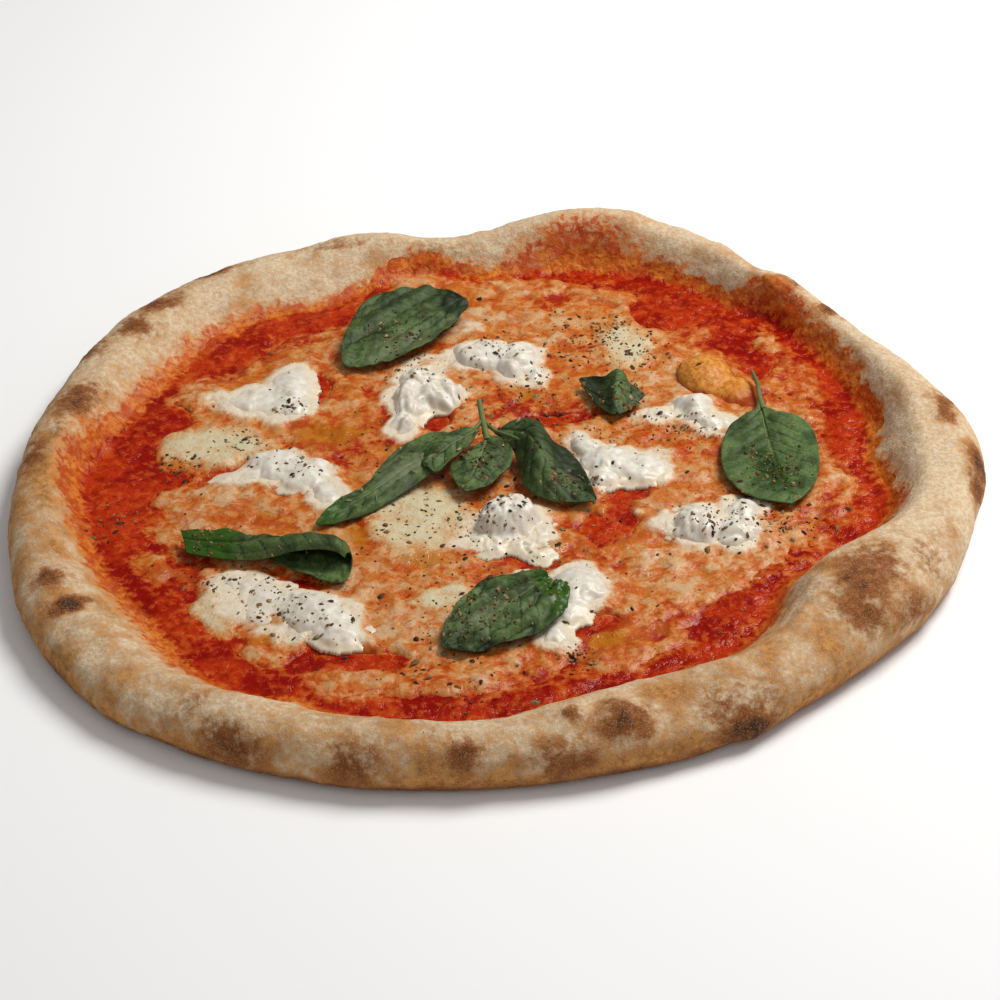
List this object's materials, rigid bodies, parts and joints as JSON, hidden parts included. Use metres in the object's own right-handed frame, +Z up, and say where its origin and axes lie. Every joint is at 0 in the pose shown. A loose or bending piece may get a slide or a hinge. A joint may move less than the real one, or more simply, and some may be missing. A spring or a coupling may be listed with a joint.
{
  "type": "margherita pizza",
  "caption": "Whole Neapolitan-style margherita pizza with a puffed, floury, leopard-browned rim, tomato sauce, melted mozzarella, burrata clots, basil and dried herb flakes.",
  "frame": {"origin": "middle of the underside, on the surface the pizza lies on", "axes": "+Z up; -Y the front edge, nearest the viewer; +X to the right"},
  "size_m": [0.331, 0.3164, 0.0238],
  "materials": {
    "crust": "baked bread crust, dry and floury, browned in spots",
    "sauce": "wet tomato sauce",
    "melted_cheese": "melted mozzarella tinted with oil and tomato",
    "burrata": "fresh moist burrata",
    "basil": "fresh basil leaf, satin",
    "dried_herbs": "dried herb flakes and ground pepper"
  },
  "bodies": {
    "root": {"dough_base": "crust", "tomato_sauce": "sauce", "melted_mozzarella": "melted_cheese", "burrata_left_back": "burrata", "burrata_middle_back": "burrata", "burrata_back": "burrata", "burrata_right_back": "burrata", "burrata_middle_right": "burrata", "burrata_right": "burrata", "burrata_centre": "burrata", "burrata_front": "burrata", "burrata_left": "burrata", "burrata_left_front": "burrata", "basil_back_leaf": "basil", "basil_curled_leaf": "basil", "basil_right_leaf": "basil", "basil_sprig": "basil", "basil_rolled_leaf": "basil", "basil_front_leaf": "basil"}
  },
  "joints": []
}
